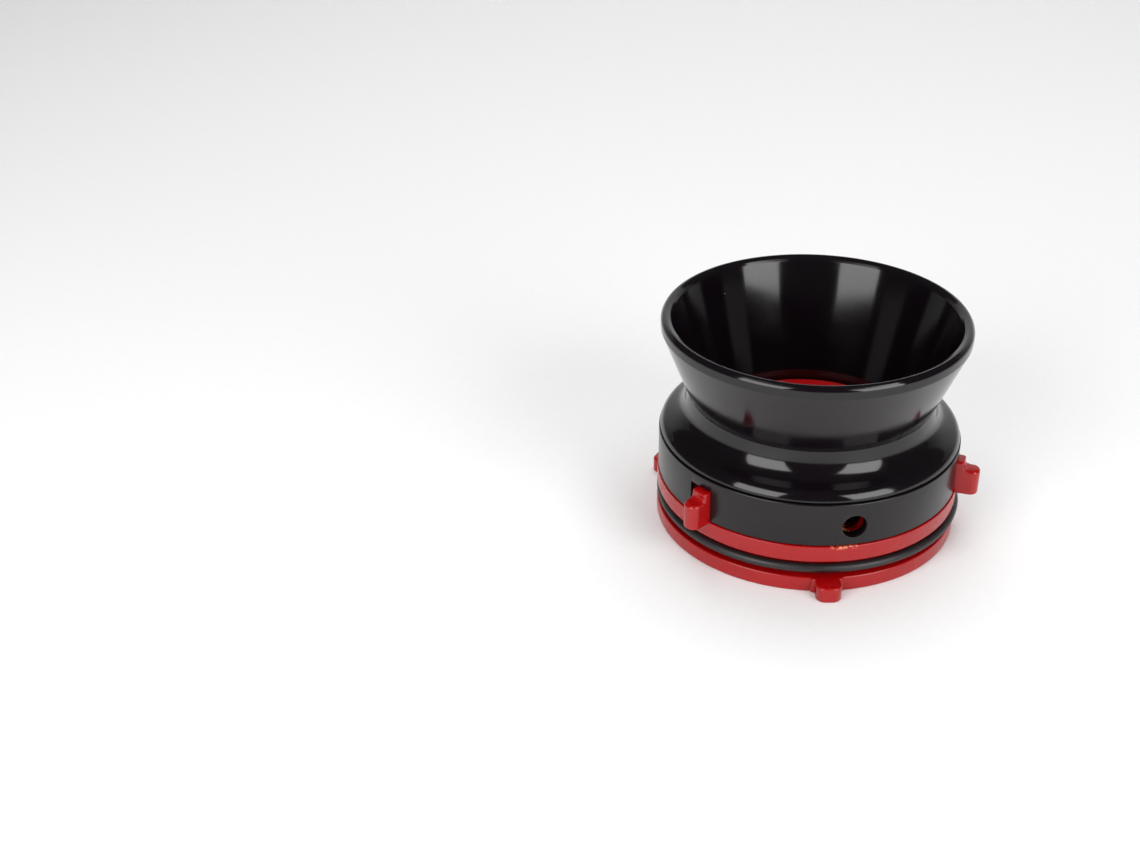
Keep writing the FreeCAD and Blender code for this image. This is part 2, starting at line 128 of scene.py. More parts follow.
def settle(obj):
    """Applies every modifier, merges doubles and turns the faces outwards."""
    graph = bpy.context.evaluated_depsgraph_get()
    mesh = bpy.data.meshes.new_from_object(obj.evaluated_get(graph), depsgraph=graph)
    obj.modifiers.clear()
    obj.data = mesh
    shape = bmesh.new()
    shape.from_mesh(mesh)
    bmesh.ops.remove_doubles(shape, verts=shape.verts, dist=1e-6)
    bmesh.ops.dissolve_degenerate(shape, edges=shape.edges, dist=1e-7)
    bmesh.ops.recalc_face_normals(shape, faces=shape.faces)
    shape.to_mesh(mesh)
    shape.free()
    for face in mesh.polygons:
        face.use_smooth = True
    mesh.set_sharp_from_angle(angle=math.radians(SHARP_ANGLE))


def new_object(name, vertices, edges, faces):
    mesh = bpy.data.meshes.new(name)
    mesh.from_pydata(vertices, edges, faces)
    obj = bpy.data.objects.new(name, mesh)
    bpy.context.scene.collection.objects.link(obj)
    return obj


turning = turning_tree()
AXIS_OFFSET = 0.5 * MM


def turned(name, corners, finish, steps_round=256, corner_steps=12):
    """A piece turned from corners (radius, height, rounding) in millimetres.

    A profile hangs from its path, so heights go in with their sign changed."""
    count = len(corners)
    points = [(radius * MM - AXIS_OFFSET, -height * MM, 0) for radius, height, _ in corners]
    obj = new_object(name, points, [(i, (i + 1) % count) for i in range(count)], [])
    rounding = obj.data.attributes.new("rounding", "FLOAT", "POINT")
    rounding.data.foreach_set("value", [corner[2] * MM for corner in corners])
    run_tree(obj, turning, Steps_round=steps_round, Corner_steps=corner_steps,
             Axis_offset=AXIS_OFFSET, Finish=finish)
    return obj


def stand_for(obj, body, slot, *nodes):
    """The finished piece takes its nodes' place and moves with their body."""
    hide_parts(*nodes)
    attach(obj, body)


def material(name):
    """An empty node material with its shader, its tree and the object's coordinates."""
    made = bpy.data.materials.new(name)
    made.use_nodes = True
    tree = made.node_tree
    place = add(tree, "ShaderNodeTexCoord").outputs["Object"]
    return made, tree, tree.nodes["Principled BSDF"], place


# Spark-eroded ABS: fine sparkling grain on the rim, smooth moulded skin in the bore.
sleeve_red, tree, shader, place = material("abs_red_spark_eroded")
SLEEVE_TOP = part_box("valve_sleeve")[1].z / MM
height = add(tree, "ShaderNodeSeparateXYZ", {0: place}).outputs["Z"]
on_rim = add(tree, "ShaderNodeMapRange", {
    "Value": height, "From Min": (SLEEVE_TOP - 2.4) * MM, "From Max": (SLEEVE_TOP - 1.2) * MM,
}).outputs["Result"]
GRAIN = 0.35 * MM
grain = add(tree, "ShaderNodeTexNoise", {"Vector": place, "Scale": 1 / GRAIN, "Detail": 3.0})
spark = add(tree, "ShaderNodeMath", {0: grain.outputs["Fac"], 1: on_rim}, operation="MULTIPLY")
bump = add(tree, "ShaderNodeBump", {
    "Height": spark.outputs["Value"], "Strength": 0.55, "Distance": 0.12 * MM,
})
roughness = add(tree, "ShaderNodeMapRange", {
    "Value": on_rim, "To Min": 0.2, "To Max": 0.42,
})
shade = add(tree, "ShaderNodeMix", {
    "Factor": grain.outputs["Fac"], "A": linear("#A60A0C"), "B": linear("#C01417"),
}, data_type="RGBA")
tree.links.new(shade.outputs["Result"], shader.inputs["Base Color"])
tree.links.new(roughness.outputs["Result"], shader.inputs["Roughness"])
tree.links.new(bump.outputs["Normal"], shader.inputs["Normal"])
shader.inputs["IOR"].default_value = 1.52

sleeve = turned("valve_sleeve_liner", [
    (23.0, 0.0, 0.3),
    (26.6, 0.0, 0.2),
    (26.6, 22.0, 0.3),
    (28.6, 22.0, 0.3),
    (28.6, 0.0, 0.2),
    (31.0, 0.0, 0.3),
    (31.0, 1.2, 0),
    (30.1, 1.2, 0),
    (30.1, 2.3, 0),
    (31.0, 2.3, 0),
    (31.0, 14.0, 0.2),
    (36.0, 14.0, 0.2),
    (36.0, 16.0, 0.3),
    (31.0, 16.0, 0.3),
    (31.0, 17.9, 0.1),
    (29.5, 17.9, 0.1),
    (29.5, 20.1, 0.1),
    (31.0, 20.1, 0.1),
    (31.0, SLEEVE_TOP, 1.6),
    (24.5, SLEEVE_TOP, 0.7),
    (24.5, 10.5, 0.2),
    (21.8, 10.5, 0.3),
    (21.8, 7.6, 0.3),
    (23.0, 7.6, 0.2),
], sleeve_red, steps_round=200, corner_steps=8)
stand_for(sleeve, "insert", "red_textured", "valve_sleeve")

# ---------------------------------------------------------------------------------------
# Seat spider: the six-spoked red wheel on the sleeve's ledge, which carries the valve.
# Moulded ABS with a fine, even skin; it keeps its shape from the design.
# ---------------------------------------------------------------------------------------

# Moulded ABS: a clear glossy red with faint flow mottling and a slight orange peel.  A pale
# orange patch is painted at three azimuths, at every height from the top of the lug ring's
# band upwards; on the wall behind the windows it is a painted glint, and it also falls on the
# hub's head.
moulded_red, tree, shader, place = material("abs_red_moulded")
FLOW = 9.0 * MM
flow = add(tree, "ShaderNodeTexNoise", {"Vector": place, "Scale": 1 / FLOW, "Detail": 2.0})
shade = add(tree, "ShaderNodeMix", {
    "Factor": flow.outputs["Fac"], "A": linear("#9A0306"), "B": linear("#A70508"),
}, data_type="RGBA")
PEEL = 1.6 * MM
peel = add(tree, "ShaderNodeTexNoise", {"Vector": place, "Scale": 1 / PEEL, "Detail": 1.0})
roughness = add(tree, "ShaderNodeMapRange", {
    "Value": flow.outputs["Fac"], "From Min": 0.3, "From Max": 0.7,
    "To Min": 0.2, "To Max": 0.3,
})
bump = add(tree, "ShaderNodeBump", {
    "Height": peel.outputs["Fac"], "Strength": 0.12, "Distance": 0.05 * MM,
})
# Pale orange patches at three azimuths; on the wall behind the windows they are a painted glint.
ORANGE_PATCH_AND_GLINT_AZIMUTH = math.radians(16 - 90)
parts = add(tree, "ShaderNodeSeparateXYZ", {0: place})
around = add(tree, "ShaderNodeMath", {
    0: parts.outputs["Y"], 1: parts.outputs["X"],
}, operation="ARCTAN2")
third = add(tree, "ShaderNodeMath", {
    0: around.outputs["Value"], 1: 3.0, 2: -3 * ORANGE_PATCH_AND_GLINT_AZIMUTH,
}, operation="MULTIPLY_ADD")
nearness = add(tree, "ShaderNodeMath", {0: third.outputs["Value"]}, operation="COSINE")
beside = add(tree, "ShaderNodeMapRange", {
    "Value": nearness.outputs["Value"], "From Min": 0.96, "From Max": 0.99,
})
level = add(tree, "ShaderNodeMapRange", {
    "Value": parts.outputs["Z"], "From Min": 14.0 * MM, "From Max": 14.9 * MM,
})
ORANGE_PATCH_GRAIN = 0.8 * MM
orange_patch_noise = add(tree, "ShaderNodeTexNoise", {"Vector": place, "Scale": 1 / ORANGE_PATCH_GRAIN, "Detail": 3.0})
orange_patch_breakup = add(tree, "ShaderNodeMapRange", {
    "Value": orange_patch_noise.outputs["Fac"], "From Min": 0.5, "From Max": 0.6,
})
here = add(tree, "ShaderNodeMath", {
    0: beside.outputs["Result"], 1: level.outputs["Result"],
}, operation="MULTIPLY")
orange_patch_and_glint = add(tree, "ShaderNodeMath", {
    0: here.outputs["Value"], 1: orange_patch_breakup.outputs["Result"],
}, operation="MULTIPLY")
# Mixes in the pale orange: a patch on the band, and a painted glint on the wall behind the
# windows.
red_with_orange_patch_and_glint = add(tree, "ShaderNodeMix", {
    "Factor": orange_patch_and_glint.outputs["Value"], "A": shade.outputs["Result"], "B": linear("#E8936A"),
}, data_type="RGBA")
tree.links.new(red_with_orange_patch_and_glint.outputs["Result"], shader.inputs["Base Color"])
tree.links.new(roughness.outputs["Result"], shader.inputs["Roughness"])
tree.links.new(bump.outputs["Normal"], shader.inputs["Normal"])
shader.inputs["IOR"].default_value = 1.53


def refinish(node, finish):
    """Gives a node of the design its material, over whatever the frame brought."""
    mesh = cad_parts[node].data
    mesh.materials.clear()
    mesh.materials.append(finish)


refinish("seat_spider", moulded_red)

# ---------------------------------------------------------------------------------------
# Valve disc: a flat black rubber flap that seals the throat, pinned at its middle.
# Punched from sheet silicone rubber, so it is dull and its edges are only just eased.
# ---------------------------------------------------------------------------------------

# Silicone rubber: a soft satin black with faint cloudy bloom and a very fine grain.
disc_rubber, tree, shader, place = material("silicone_rubber_black")
BLOOM = 7.0 * MM
bloom = add(tree, "ShaderNodeTexNoise", {"Vector": place, "Scale": 1 / BLOOM, "Detail": 4.0})
shade = add(tree, "ShaderNodeMix", {
    "Factor": bloom.outputs["Fac"], "A": linear("#1A1718"), "B": linear("#242122"),
}, data_type="RGBA")
SHEET_GRAIN = 0.3 * MM
sheet_grain = add(tree, "ShaderNodeTexNoise", {"Vector": place, "Scale": 1 / SHEET_GRAIN})
bump = add(tree, "ShaderNodeBump", {
    "Height": sheet_grain.outputs["Fac"], "Strength": 0.2, "Distance": 0.03 * MM,
})
tree.links.new(shade.outputs["Result"], shader.inputs["Base Color"])
tree.links.new(bump.outputs["Normal"], shader.inputs["Normal"])
shader.inputs["Roughness"].default_value = 0.52
shader.inputs["IOR"].default_value = 1.42

disc_low, disc_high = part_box("valve_disc")
disc_bottom, disc_top = disc_low.z / MM, disc_high.z / MM
disc_radius = disc_high.x / MM
DISC_BORE = 4.5
disc = turned("valve_disc_rubber", [
    (DISC_BORE, disc_bottom, 0.1),
    (disc_radius, disc_bottom, 0.3),
    (disc_radius, disc_top, 0.5),
    (DISC_BORE, disc_top, 0.1),
], disc_rubber, corner_steps=6)
stand_for(disc, "insert", "disc_rubber", "valve_disc")

# ---------------------------------------------------------------------------------------
# Valve hub: the red headed pin through the disc.  Moulded ABS, with a shallow star, a
# deep dish and a slot for a driver in its head, and a stem with a groove for its clip.
# The star and the dish are one grid of rings whose height follows from the distances to
# those shapes, and the slot is cut through the head afterwards.
# ---------------------------------------------------------------------------------------

hub_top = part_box("valve_hub")[1].z / MM
hub_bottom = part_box("valve_hub")[0].z / MM
hub_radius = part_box("valve_hub")[1].x / MM
HUB_EDGE = 0.35
STAR_DEEP = 0.32
STAR_CORE = 4.7
STAR_ARMS = 5
STAR_ARM_END = 8.1
STAR_ARM_HALF = 0.75
STAR_BLEND = 1.3
DISH_TOP = 3.9
DISH_FLOOR = 2.3
DISH_DEEP = 2.1
SLOT_END = 8.7
SLOT_HALF = 0.85
SLOT_FLOOR = 14.4
SLOT_INNER = 1.5
SLOT_AZIMUTH = 139.0
WALL = 0.16


def capsule(x, y, turn, end, half):
    """Distance in plan to a round-ended bar that runs from the axis at this angle."""
    along = x * math.cos(turn) + y * math.sin(turn)
    across = -x * math.sin(turn) + y * math.cos(turn)
    return np.hypot(across, along - np.clip(along, 0, end)) - half


def wall_down(distance):
    """0 outside a pocket and 1 inside, with an eased wall between."""
    t = np.clip(0.5 - distance / WALL, 0, 1)
    return t * t * (3 - 2 * t)


def repeats_tree(name, operation):
    """Sets a tool round the axis and joins it to a piece, or cuts it out."""
    tree = bpy.data.node_groups.new(name, "GeometryNodeTree")
    sockets = tree.interface
    sockets.new_socket("Piece", in_out="INPUT", socket_type="NodeSocketGeometry")
    sockets.new_socket("Tool", in_out="INPUT", socket_type="NodeSocketObject")
    sockets.new_socket("Count", in_out="INPUT", socket_type="NodeSocketInt")
    sockets.new_socket("Azimuth", in_out="INPUT", socket_type="NodeSocketFloat")
    sockets.new_socket("Finish", in_out="INPUT", socket_type="NodeSocketMaterial")
    sockets.new_socket("Joined", in_out="OUTPUT", socket_type="NodeSocketGeometry")
    given = add(tree, "NodeGroupInput").outputs
    tool = add(tree, "GeometryNodeObjectInfo", {"Object": given["Tool"]})
    places = add(tree, "GeometryNodePoints", {"Count": given["Count"]})
    index = add(tree, "GeometryNodeInputIndex").outputs["Index"]
    share = add(tree, "ShaderNodeMath", {0: index, 1: given["Count"]}, operation="DIVIDE")
    round_axis = add(tree, "ShaderNodeMath", {
        0: share.outputs["Value"], 1: math.tau, 2: given["Azimuth"],
    }, operation="MULTIPLY_ADD")
    rotation = add(tree, "ShaderNodeCombineXYZ", {"Z": round_axis.outputs["Value"]})
    copies = add(tree, "GeometryNodeInstanceOnPoints", {
        "Points": places.outputs["Points"],
        "Instance": tool.outputs["Geometry"],
        "Rotation": rotation.outputs["Vector"],
    })
    tools = add(tree, "GeometryNodeRealizeInstances", {"Geometry": copies.outputs["Instances"]})
    joined = add(tree, "GeometryNodeMeshBoolean", operation=operation, solver="EXACT")
    cut = operation == "DIFFERENCE"
    tree.links.new(given["Piece"], joined.inputs["Mesh 1" if cut else "Mesh 2"])
    tree.links.new(tools.outputs["Geometry"], joined.inputs["Mesh 2"])
    whole = add(tree, "GeometryNodeRealizeInstances", {"Geometry": joined.outputs["Mesh"]})
    finished = add(tree, "GeometryNodeSetMaterial", {
        "Geometry": whole.outputs["Geometry"], "Material": given["Finish"],
    })
    add(tree, "NodeGroupOutput", {"Joined": finished.outputs["Geometry"]})
    return tree


def tongue(inner, end, half, rounding, flare=0.0, root=0.0, steps=8):
    """The plan of a lug along +X: round outer corners, and a flared root if it has one."""
    side = [(inner, -half - flare)]
    turns = [step / steps * math.pi / 2 for step in range(steps + 1)]
    if flare:
        side += [(root + flare * math.sin(a), -half - flare * math.cos(a)) for a in turns]
    side += [(end - rounding * (1 - math.sin(a)), -half + rounding * (1 - math.cos(a)))
             for a in turns]
    return side + [(px, -py) for px, py in reversed(side)]


def stacked(name, outlines):
    """A closed solid through plan outlines (height, points) with equal numbers of points."""
    count = len(outlines[0][1])
    points = [(px * MM, py * MM, height * MM) for height, plan in outlines for px, py in plan]
    faces = [tuple(reversed(range(count))), tuple(range(len(points) - count, len(points)))]
    for level in range(len(outlines) - 1):
        for step in range(count):
            here, beside = level * count + step, level * count + (step + 1) % count
            faces.append((here, beside, beside + count, here + count))
    return new_object(name, points, [], faces)


def work_round(obj, tool, azimuth, finish, tree, count=3):
    """Joins or cuts a tool round the piece, the first at this azimuth from the front."""
    run_tree(obj, tree, Tool=tool, Count=count, Azimuth=math.radians(azimuth - 90),
             Finish=finish)
    bpy.data.objects.remove(tool)


cutting = repeats_tree("cuts round the axis", "DIFFERENCE")

ring_radii = np.arange(0.0, hub_radius - HUB_EDGE, 0.11)
turns = np.arange(300) / 300 * 2 * math.pi
r, turn = np.meshgrid(ring_radii, turns, indexing="ij")
x, y = r * np.cos(turn), r * np.sin(turn)
slot_turn = math.radians(SLOT_AZIMUTH - 90)
star = r - STAR_CORE
for arm in range(1, STAR_ARMS):
    turn_of_arm = slot_turn + arm / STAR_ARMS * 2 * math.pi
    bar = capsule(x, y, turn_of_arm, STAR_ARM_END, STAR_ARM_HALF)
    mix = np.clip(0.5 + 0.5 * (star - bar) / STAR_BLEND, 0, 1)
    star = star * (1 - mix) + bar * mix - STAR_BLEND * mix * (1 - mix)
dish = np.clip((DISH_TOP - r) / (DISH_TOP - DISH_FLOOR), 0, 1)
dish = dish * dish * (3 - 2 * dish)
sunk = np.maximum(STAR_DEEP * wall_down(star), DISH_DEEP * dish)
points = np.stack([x, y, hub_top - sunk], axis=-1).reshape(-1, 3)

EDGE_STEPS = 6
BOSS_RADIUS, STEM_RADIUS, GROOVE_RADIUS = 4.3, 3.0, 2.4
below_head = [
    (hub_radius, disc_top),
    (BOSS_RADIUS, disc_top),
    (BOSS_RADIUS, disc_bottom - 0.05),
    (STEM_RADIUS, disc_bottom - 0.05),
    (STEM_RADIUS, hub_bottom + 0.8),
    (GROOVE_RADIUS, hub_bottom + 0.8),
    (GROOVE_RADIUS, hub_bottom + 0.3),
    (STEM_RADIUS, hub_bottom + 0.3),
    (STEM_RADIUS, hub_bottom + 0.2),
    (2.8, hub_bottom),
    (0.0, hub_bottom),
]
edge_turns = [step / EDGE_STEPS * math.pi / 2 for step in range(EDGE_STEPS + 1)]
edge = [(hub_radius - HUB_EDGE * (1 - math.sin(a)), hub_top - HUB_EDGE * (1 - math.cos(a)))
        for a in edge_turns]
for ring, top in edge + below_head:
    around = np.stack([ring * np.cos(turns), ring * np.sin(turns), np.full(len(turns), top)], -1)
    points = np.concatenate([points, around])
ring_count = len(points) // len(turns)
faces = []
for ring in range(ring_count - 1):
    for step in range(len(turns)):
        here, beside = ring * len(turns) + step, ring * len(turns) + (step + 1) % len(turns)
        faces.append((here, beside, beside + len(turns), here + len(turns)))
hub = new_object("valve_hub_pin", (points * MM).tolist(), [], faces)
hub.data.materials.append(moulded_red)
settle(hub)
slot_plan = tongue(SLOT_INNER, SLOT_END, SLOT_HALF, SLOT_HALF)
slot = stacked("slot", [(SLOT_FLOOR, slot_plan), (hub_top + 1, slot_plan)])
work_round(hub, slot, SLOT_AZIMUTH, moulded_red, cutting, count=1)
stand_for(hub, "hub", "red_gloss", "valve_hub")

# ---------------------------------------------------------------------------------------
# Hub washer, hub clip and flange clip: flat steel rings stamped from strip.  The hub
# clip snaps into the pin's groove, the flange clip into the sleeve's, under the flange.
# ---------------------------------------------------------------------------------------

# Spring steel: ground strip with fine parallel scratches and a few duller patches.
spring_steel, tree, shader, place = material("spring_steel_ground")
SCRATCH = 0.25 * MM
stretched = add(tree, "ShaderNodeMapping", {"Vector": place, "Scale": (1.0, 0.05, 1.0)})
scratches = add(tree, "ShaderNodeTexNoise", {
    "Vector": stretched.outputs["Vector"], "Scale": 1 / SCRATCH, "Detail": 3.0,
})
patches = add(tree, "ShaderNodeTexNoise", {"Vector": place, "Scale": 1 / (5 * MM)})
shade = add(tree, "ShaderNodeMix", {
    "Factor": patches.outputs["Fac"], "A": linear("#8E8C8A"), "B": linear("#B4B2B0"),
}, data_type="RGBA")
roughness = add(tree, "ShaderNodeMapRange", {
    "Value": scratches.outputs["Fac"], "To Min": 0.2, "To Max": 0.42,
})
bump = add(tree, "ShaderNodeBump", {
    "Height": scratches.outputs["Fac"], "Strength": 0.15, "Distance": 0.02 * MM,
})
tree.links.new(shade.outputs["Result"], shader.inputs["Base Color"])
tree.links.new(roughness.outputs["Result"], shader.inputs["Roughness"])
tree.links.new(bump.outputs["Normal"], shader.inputs["Normal"])
shader.inputs["Metallic"].default_value = 1.0
for node in ("hub_washer", "hub_clip", "flange_clip"):
    refinish(node, spring_steel)

# ---------------------------------------------------------------------------------------
# Lug ring: the upper red ring.  Moulded ABS: an outer band, a wall with round windows that
# rises inside the skirt, a spigot that the flange turns on, finger lugs and stop keys.
# ---------------------------------------------------------------------------------------


def eased(low, high, low_round, high_round, steps=6):
    """Heights and insets that round the lower and upper edges of a moulded lug."""
    levels = []
    for step in range(steps + 1):
        a = step / steps * math.pi / 2
        levels.append((low + low_round * (1 - math.cos(a)), low_round * (1 - math.sin(a))))
    for step in range(steps + 1):
        a = step / steps * math.pi / 2
        levels.append((high - high_round * (1 - math.sin(a)), high_round * (1 - math.cos(a))))
    return levels


def sector(inner, outer, half_angle, steps=8):
    """The plan of a stop block: a slice of a ring, centred on +X."""
    turns = [math.radians(half_angle) * (2 * step / steps - 1) for step in range(steps + 1)]
    far = [(outer * math.cos(a), outer * math.sin(a)) for a in turns]
    return far + [(inner * math.cos(a), inner * math.sin(a)) for a in reversed(turns)]


def round_rod(radius, low, high, height, steps=72):
    """A round rod along +X at a height, as a tool."""
    plan = [(radius * math.cos(a), radius * math.sin(a))
            for a in (step / steps * math.tau for step in range(steps))]
    rod = stacked("rod", [(low, plan), (high, plan)])
    lay_down = Matrix.Rotation(math.pi / 2, 4, "Y")
    rod.data.transform(Matrix.Translation((0, 0, height * MM)) @ lay_down)
    return rod


joining = repeats_tree("lugs round the axis", "UNION")
STOP_INNER, STOP_OUTER, STOP_HALF_ANGLE = 33.0, 36.0, 14.8
STOP_AZIMUTH = 52.8
HOLE_HEIGHT, HOLE_AZIMUTH = 21.3, 19.3
WINDOW_RADIUS = 4.4
LUG_HALF = 2.65
LUG_END = 51.2
LUG_CORNER = 2.35
LUG_BOTTOM, LUG_TOP = 14.4, 22.4
LUG_AZIMUTH = -38.8
STEP_END, STEP_TOP = 46.7, 25.0
STEP_HALF = LUG_HALF - 0.03
STEP_FOOT = 1.3
STEP_ROUND = 0.7
BAND_BOTTOM, BAND_TOP, BAND_RADIUS = 10.0, 15.1, 45.0

lug_ring = turned("lug_ring_moulding", [
    (31.3, BAND_BOTTOM, 0.2),
    (39.5, BAND_BOTTOM, 0.2),
    (39.5, 4.9, 0.2),
    (42.2, 4.9, 0.3),
    (42.2, BAND_BOTTOM, 0.2),
    (BAND_RADIUS, BAND_BOTTOM, 0.35),
    (BAND_RADIUS, BAND_TOP, 0.25),
    (41.4, BAND_TOP, 0.2),
    (41.4, 23.6, 0.4),
    (38.4, 23.6, 0.4),
    (38.4, 14.0, 0.3),
    (31.3, 14.0, 0.2),
], moulded_red, corner_steps=6)
lug_plans = [(height, tongue(39.0, LUG_END - inset, LUG_HALF - inset, LUG_CORNER - inset))
             for height, inset in eased(LUG_BOTTOM, LUG_TOP, 0.6, 0.95)]
work_round(lug_ring, stacked("finger_lug", lug_plans), LUG_AZIMUTH, moulded_red, joining)
step_plans = [(LUG_BOTTOM + 1, tongue(40.0, STEP_END, STEP_HALF, STEP_ROUND))]
for step in range(9):
    a = step / 8 * math.pi / 2
    reach = STEP_FOOT * (1 - math.sin(a))
    step_plans.append((LUG_TOP - 0.15 + STEP_FOOT * (1 - math.cos(a)),
                       tongue(40.0, STEP_END + reach, STEP_HALF, STEP_ROUND)))
for height, inset in eased(STEP_TOP - 1.2, STEP_TOP, 0.0, 0.65)[7:]:
    step_plans.append((height,
                       tongue(40.0, STEP_END - inset, STEP_HALF - inset, STEP_ROUND)))
work_round(lug_ring, stacked("lug_step", step_plans), LUG_AZIMUTH, moulded_red, joining)
stop_plan = sector(STOP_INNER, STOP_OUTER, STOP_HALF_ANGLE)
stop_key = stacked("stop_key", [(5.3, stop_plan), (BAND_BOTTOM + 0.5, stop_plan)])
work_round(lug_ring, stop_key, STOP_AZIMUTH, moulded_red, joining)
window = round_rod(WINDOW_RADIUS, 30.0, 50.0, HOLE_HEIGHT)
work_round(lug_ring, window, HOLE_AZIMUTH, moulded_red, cutting)
stand_for(lug_ring, "insert", "red_gloss", "lug_ring")

# ---------------------------------------------------------------------------------------
# Lock flange: the lowest red ring, which turns under the lug ring.  Moulded ABS with
# three lugs that flare at the root, each with a small gate pocket on one side.
# ---------------------------------------------------------------------------------------

FLANGE_THICK = 4.7
LOCK_AZIMUTH = 10.8
LOCK_HALF = 3.6
LOCK_END = 50.6
LOCK_CORNER = 2.7
LOCK_FLARE, LOCK_ROOT = 1.1, 44.6
lock_flange = turned("lock_flange_moulding", [
    (31.3, 2.6, 0.2),
    (34.8, 2.6, 0.3),
    (34.8, 0.0, 0.3),
    (45.0, 0.0, 0.45),
    (45.0, FLANGE_THICK, 0.45),
    (39.4, FLANGE_THICK, 0.2),
    (39.4, 9.5, 0.3),
    (36.4, 9.5, 0.3),
    (36.4, FLANGE_THICK, 0.2),
    (31.3, FLANGE_THICK, 0.2),
], moulded_red, corner_steps=6)
lock_plans = [
    (height, tongue(40.0, LOCK_END - inset, LOCK_HALF - inset, LOCK_CORNER - inset,
                    LOCK_FLARE, LOCK_ROOT))
    for height, inset in eased(0.0, FLANGE_THICK, 0.4, 0.6)
]
lock_lug = stacked("lock_lug", lock_plans)
work_round(lock_flange, lock_lug, LOCK_AZIMUTH, moulded_red, joining)
stop_block = stacked("stop_block", [(FLANGE_THICK - 0.5, stop_plan), (8.4, stop_plan)])
work_round(lock_flange, stop_block, LOCK_AZIMUTH, moulded_red, joining)
GATE_DEEP = 0.45
GATE_START, GATE_END = 46.3, 48.3
gate_plan = [(GATE_START, -LOCK_HALF - 1), (GATE_END, -LOCK_HALF - 1),
             (GATE_END, GATE_DEEP - LOCK_HALF), (GATE_START, GATE_DEEP - LOCK_HALF)]
gate = stacked("gate", [(1.3, gate_plan), (3.0, gate_plan)])
work_round(lock_flange, gate, LOCK_AZIMUTH, moulded_red, cutting)
stand_for(lock_flange, "lock_flange", "red_gloss", "lock_flange")

# ---------------------------------------------------------------------------------------
# Body ring: the black seal between the two red rings.  A moulded nitrile rubber ring of
# round section that hangs a little loose, so it stands out on one side.
# ---------------------------------------------------------------------------------------

# Nitrile rubber: dull grey-black, cloudy with handling, with specks of dust on it.
nitrile, tree, shader, place = material("nitrile_rubber_black")
CLOUD = 6.0 * MM
cloud = add(tree, "ShaderNodeTexNoise", {"Vector": place, "Scale": 1 / CLOUD, "Detail": 5.0})
shade = add(tree, "ShaderNodeMix", {
    "Factor": cloud.outputs["Fac"], "A": linear("#141112"), "B": linear("#2B2728"),
}, data_type="RGBA")
roughness = add(tree, "ShaderNodeMapRange", {
    "Value": cloud.outputs["Fac"], "From Min": 0.3, "From Max": 0.7,
    "To Min": 0.32, "To Max": 0.5,
})
SPECK_GAP = 3.5 * MM
SPECK = 0.028
specks = add(tree, "ShaderNodeTexVoronoi", {"Vector": place, "Scale": 1 / SPECK_GAP})
dust = add(tree, "ShaderNodeMath", {0: specks.outputs["Distance"], 1: SPECK},
           operation="LESS_THAN")
dusty = add(tree, "ShaderNodeMix", {
    "Factor": dust.outputs["Value"], "A": shade.outputs["Result"], "B": linear("#B8B4B0"),
}, data_type="RGBA")
bump = add(tree, "ShaderNodeBump", {
    "Height": cloud.outputs["Fac"], "Strength": 0.25, "Distance": 0.1 * MM,
})
tree.links.new(dusty.outputs["Result"], shader.inputs["Base Color"])
tree.links.new(roughness.outputs["Result"], shader.inputs["Roughness"])
tree.links.new(bump.outputs["Normal"], shader.inputs["Normal"])
shader.inputs["IOR"].default_value = 1.5

ring_low, ring_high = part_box("body_ring")
RING_SECTION = (ring_high.z - ring_low.z) / 2 / MM
RING_CENTRE = ring_high.x / MM - RING_SECTION
RING_HEIGHT = (ring_high.z + ring_low.z) / 2 / MM
LOOSE_SIDE = 0.95
AROUND, ABOUT = 360, 28
points = []
for step in range(AROUND):
    a = step / AROUND * math.tau
    centre = RING_CENTRE + LOOSE_SIDE * max(math.cos(a), 0) ** 2 + 0.1 * math.sin(3 * a + 0.6)
    level = RING_HEIGHT + 0.25 * math.sin(a + 0.4) + 0.12 * math.sin(3 * a)
    for turn_step in range(ABOUT):
        b = turn_step / ABOUT * math.tau
        flash = 0.03 * max(math.cos(2 * b), 0) ** 24
        out = centre + (RING_SECTION + flash) * math.cos(b)
        points.append((out * math.cos(a) * MM, out * math.sin(a) * MM,
                       (level + (RING_SECTION + flash) * math.sin(b)) * MM))
faces = []
for step in range(AROUND):
    for turn_step in range(ABOUT):
        here, above = step * ABOUT + turn_step, step * ABOUT + (turn_step + 1) % ABOUT
        ahead = (step + 1) % AROUND * ABOUT
        faces.append((here, ahead + turn_step, ahead + (turn_step + 1) % ABOUT, above))
body_ring = new_object("body_ring_seal", points, [], faces)
body_ring.data.materials.append(nitrile)
settle(body_ring)
stand_for(body_ring, "insert", "seal_rubber", "body_ring")
refinish("throat_seal", nitrile)

# ---------------------------------------------------------------------------------------
# Skirt ring: the band under the cup's shoulder.  Turned aluminium, black anodised to a
# satin, with three notches that the finger lugs stand in and three round windows.
# ---------------------------------------------------------------------------------------

# Satin black anodised aluminium: a soft sheen with very fine turning lines.
satin_black, tree, shader, place = material("aluminium_black_anodised_satin")
TURNING_LINE = 0.22 * MM


def turning_lines(tree, place, spacing):
    """Noise that is even round the axis and changes along radius and height."""
    parts = add(tree, "ShaderNodeSeparateXYZ", {0: place})
    flat = add(tree, "ShaderNodeCombineXYZ", {
        "X": parts.outputs["X"], "Y": parts.outputs["Y"],
    })
    radius = add(tree, "ShaderNodeVectorMath", {0: flat.outputs["Vector"]}, operation="LENGTH")
    along = add(tree, "ShaderNodeCombineXYZ", {
        "X": radius.outputs["Value"], "Y": parts.outputs["Z"],
    })
    return add(tree, "ShaderNodeTexNoise", {
        "Vector": along.outputs["Vector"], "Scale": 1 / spacing, "Detail": 2.0,
    }).outputs["Fac"]


